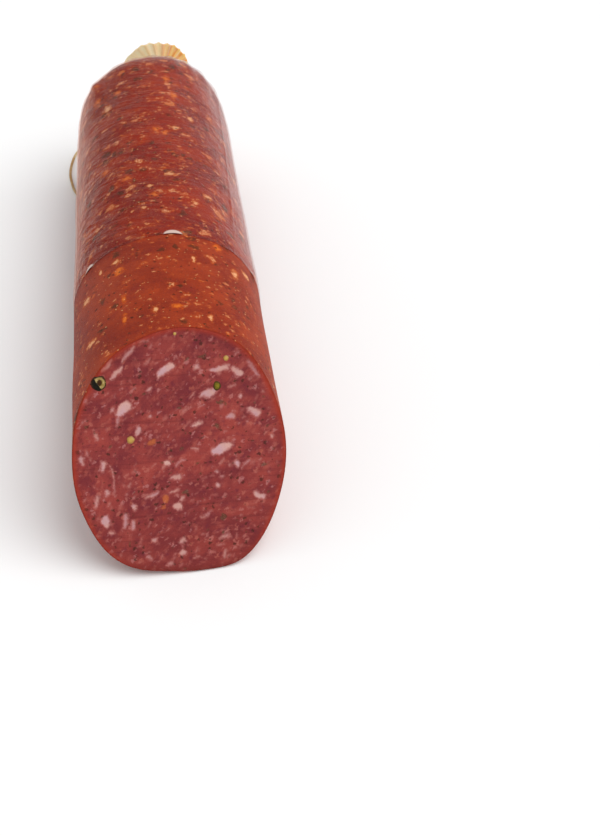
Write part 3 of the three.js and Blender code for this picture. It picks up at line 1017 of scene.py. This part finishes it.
def make_casing():
    """The film from its front edge over the shoulder to the neck and the frill, in one piece."""
    wave = pleat_wave()
    rows = Rows("lifted", "gathered", "fold", "trim", "distance")
    add_film(rows, wave)
    film_bands = len(rows.points) - 1
    add_neck(rows, wave)
    add_frill(rows, wave)

    y, z, _ = along_neck(NECK_END + TAIL_FILM - HOLLOW)
    points = np.concatenate(rows.points + [[[TIP_SIDE, y, z]]])
    middle = len(points) - 1
    faces = turned_over(band_faces(len(rows.points), COLUMNS) + fan_faces(middle - COLUMNS, middle))
    on_film = film_bands * COLUMNS
    slots = [0] * on_film + [1] * (len(faces) - on_film)
    piece = new_object("casing_film", points, faces, [film_material(), tail_material()], slots)
    for name in ("lifted", "gathered", "fold", "trim"):
        add_values(piece, name, np.append(rows.values[name], 0))
    along = np.append(rows.values["distance"], NECK_START) / 10
    around = np.append(np.tile(ANGLES, len(rows.points)), 0)
    add_values(piece, "pleat_place", np.stack([np.sin(around), along, np.cos(around)], -1))
    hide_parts("casing")


def run_along(points):
    """How far along a line each of its points lies."""
    return np.concatenate([[0], np.cumsum(np.linalg.norm(np.diff(points, axis=0), axis=1))])


def curve_through(route, step):
    """Points a step apart on a smooth curve through the points of a route."""
    route = np.asarray(route, float)
    ends = np.concatenate([[2 * route[0] - route[1]], route, [2 * route[-1] - route[-2]]])
    fine = []
    for i in range(len(route) - 1):
        before, start, end, after = ends[i:i + 4]
        square = 2 * before - 5 * start + 4 * end - after
        cube = 3 * start - before - 3 * end + after
        for t in np.linspace(0, 1, 24, endpoint=False):
            fine.append(0.5 * (2 * start + (end - before) * t + square * t ** 2 + cube * t ** 3))
    fine = np.array(fine + [route[-1]])
    run = run_along(fine)
    spots = np.linspace(0, run[-1], max(8, int(run[-1] / step)) + 1)
    return np.stack([np.interp(spots, run, fine[:, k]) for k in range(3)], -1)


def rope(points, strands=3, sides=8):
    """Points and faces of a cord of twisted strands that follows a line of points."""
    ahead = np.gradient(points, axis=0)
    ahead /= np.linalg.norm(ahead, axis=1)[:, None]
    normal = np.cross(ahead[0], [0.3, 0.5, 0.8])
    frames = []
    for direction in ahead:
        normal = normal - direction * (normal @ direction)
        normal /= np.linalg.norm(normal)
        frames.append((normal, np.cross(direction, normal)))
    strand_radius = TWINE / 2 * STRAND_SHARE
    strand_off = TWINE / 2 - strand_radius
    corners, faces = [], []
    for strand in range(strands):
        start = len(corners)
        for point, (first, second), distance in zip(points, frames, run_along(points)):
            turn = math.tau * (distance / TWINE_TWIST + strand / strands)
            middle = point + strand_off * (math.cos(turn) * first + math.sin(turn) * second)
            for side in range(sides):
                angle = math.tau * side / sides
                corners.append(middle + strand_radius * (math.cos(angle) * first + math.sin(angle) * second))
        faces += tube_faces(len(points), sides, start)
    return corners, faces


def make_loop(material):
    """The hanging loop, a free cord that leaves the knot and comes back to it."""
    points = curve_through(LOOP_ROUTE, 0.5)
    corners, faces = rope(points)
    piece = new_object("twine_loop_cord", corners, faces, [material])
    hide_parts("twine_loop")


def at_neck(local):
    """Points given from the middle of the neck, with Y along it, as points of the log's frame."""
    y, z, tilt = along_neck(NECK_MIDDLE)
    across, along, up = np.asarray(local).T
    return np.stack([TIP_SIDE + across, y + along * math.cos(tilt) - up * math.sin(tilt),
                     z + along * math.sin(tilt) + up * math.cos(tilt)], -1)


def make_tie(material):
    """Turns of twine round the neck, the knot under it, and the starts of the loop in the knot."""
    turn = np.linspace(0, TIE_TURNS, 160) * math.tau + math.pi
    winding = np.stack([TIE_RADIUS * np.sin(turn), TIE_PITCH * (turn - turn.mean()) / math.tau,
                        TIE_RADIUS * np.cos(turn)], -1)
    t = np.linspace(0, math.tau, 140)
    drop = TIE_RADIUS + KNOT_DROP
    trefoil = np.stack([np.sin(t) + 2 * np.sin(2 * t), -np.sin(3 * t), np.cos(t) - 2 * np.cos(2 * t)], -1)
    lines = [at_neck(winding), at_neck(trefoil * KNOT_SIZE - [0, 0, drop])]
    for first, second in (LOOP_ROUTE[:2], LOOP_ROUTE[:-3:-1]):
        first, second = np.array(first), np.array(second)
        inside_knot = 0.5 * first + 0.5 * at_neck([[0, 0, -drop]])[0] + [0, 0, 1.0]
        into_loop = first + 0.1 * (second - first)
        lines.append(np.linspace(inside_knot, into_loop, 12))
    corners, faces = [], []
    for line in lines:
        more_corners, more_faces = rope(line)
        faces += [tuple(corner + len(corners) for corner in face) for face in more_faces]
        corners += more_corners
    piece = new_object("twine_tie_cord", corners, faces, [material])
    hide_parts("twine_tie")


def make_grains(name, grains, material):
    """Low rounded grains, sunk a little into the cut face and closed underneath."""
    rounds, spokes, sunk, unround = 9, 40, 0.12, 0.03
    turn = np.linspace(0, math.tau, spokes, endpoint=False)
    points, faces, places = [], [], []
    for across, up, radius, height, stretch in grains:
        start = len(points) * spokes
        outline = 1 + unround * np.sin(3 * turn + across) + unround * np.sin(5 * turn + up)
        for share in np.linspace(1, 0.04, rounds):
            side, rise = share * outline * np.cos(turn), share * outline * np.sin(turn)
            lift = height * math.sqrt(max(0, 1 - share ** 2)) - sunk
            points.append(on_face(across + radius * side, up + radius * stretch * rise, lift + 0 * turn))
            places.append(np.stack([side, rise, 0 * turn], -1))
        faces += tube_faces(rounds, spokes, start)
    piece = new_object(name, np.concatenate(points), faces, [material])
    add_values(piece, "grain_place", np.concatenate(places))
    add_values(piece, "heart", np.linalg.norm(np.concatenate(places), axis=1))


# Stage, light and camera

def make_stage():
    """A pale floor, a little below the part."""
    half, below = 3.0, 0.0002
    mesh = bpy.data.meshes.new("floor")
    corners = [(-half, -half, 0), (half, -half, 0), (half, half, 0), (-half, half, 0)]
    mesh.from_pydata(corners, [], [(0, 1, 2, 3)])
    nodes = Nodes("pale_floor")
    shader = nodes.add("BsdfPrincipled", {"Base Color": (0.96, 0.96, 0.96, 1), "Roughness": 0.9})
    mesh.materials.append(nodes.finish(shader))
    floor = linked("floor", mesh)
    floor.location.z = -below


def make_light(name, direction, spread, strength):
    """A broad soft light that comes evenly from one direction."""
    light = bpy.data.lights.new(name, "SUN")
    light.angle = math.radians(spread)
    light.energy = strength
    lamp = linked(name, light)
    lamp.location = direction
    lamp.rotation_euler = Vector(direction).to_track_quat("Z", "Y").to_euler()


def make_surroundings():
    """White surroundings, which light the part less brightly than the camera sees them."""
    world = bpy.data.worlds.new("surroundings")
    world.use_nodes = True
    nodes, links = world.node_tree.nodes, world.node_tree.links
    background = nodes["Background"]
    background.inputs["Color"].default_value = (1, 1, 1, 1)
    strength = nodes.new("ShaderNodeMapRange")
    strength.inputs["To Min"].default_value = SKY_LIGHT
    links.new(nodes.new("ShaderNodeLightPath").outputs["Is Camera Ray"], strength.inputs["Value"])
    links.new(strength.outputs["Result"], background.inputs["Strength"])
    bpy.context.scene.world = world


def make_camera():
    """The camera that was fitted to the photograph."""
    data = bpy.data.cameras.new("camera")
    data.sensor_width = 36
    data.lens = data.sensor_width * FOCAL_PIXELS / LONGER_SIDE
    camera = linked("camera", data)
    camera.location = to_part(CAMERA_PLACE)
    camera.rotation_euler = (math.radians(90 - CAMERA_DOWN), 0, math.radians(-CAMERA_RIGHT))
    bpy.context.scene.camera = camera


make_meat()
make_casing()
twine = twine_material()
make_loop(twine)
make_tie(twine)
make_grains("cut_peppercorn", PEPPERCORN, peppercorn_material())
make_grains("mustard_seeds", MUSTARD_SEEDS, seed_material())
make_grains("green_pepper_bit", GREEN_BIT, green_material())

make_stage()
for light in LIGHTS:
    make_light(*light)
make_camera()
make_surroundings()
bpy.context.scene.view_settings.view_transform = "Standard"
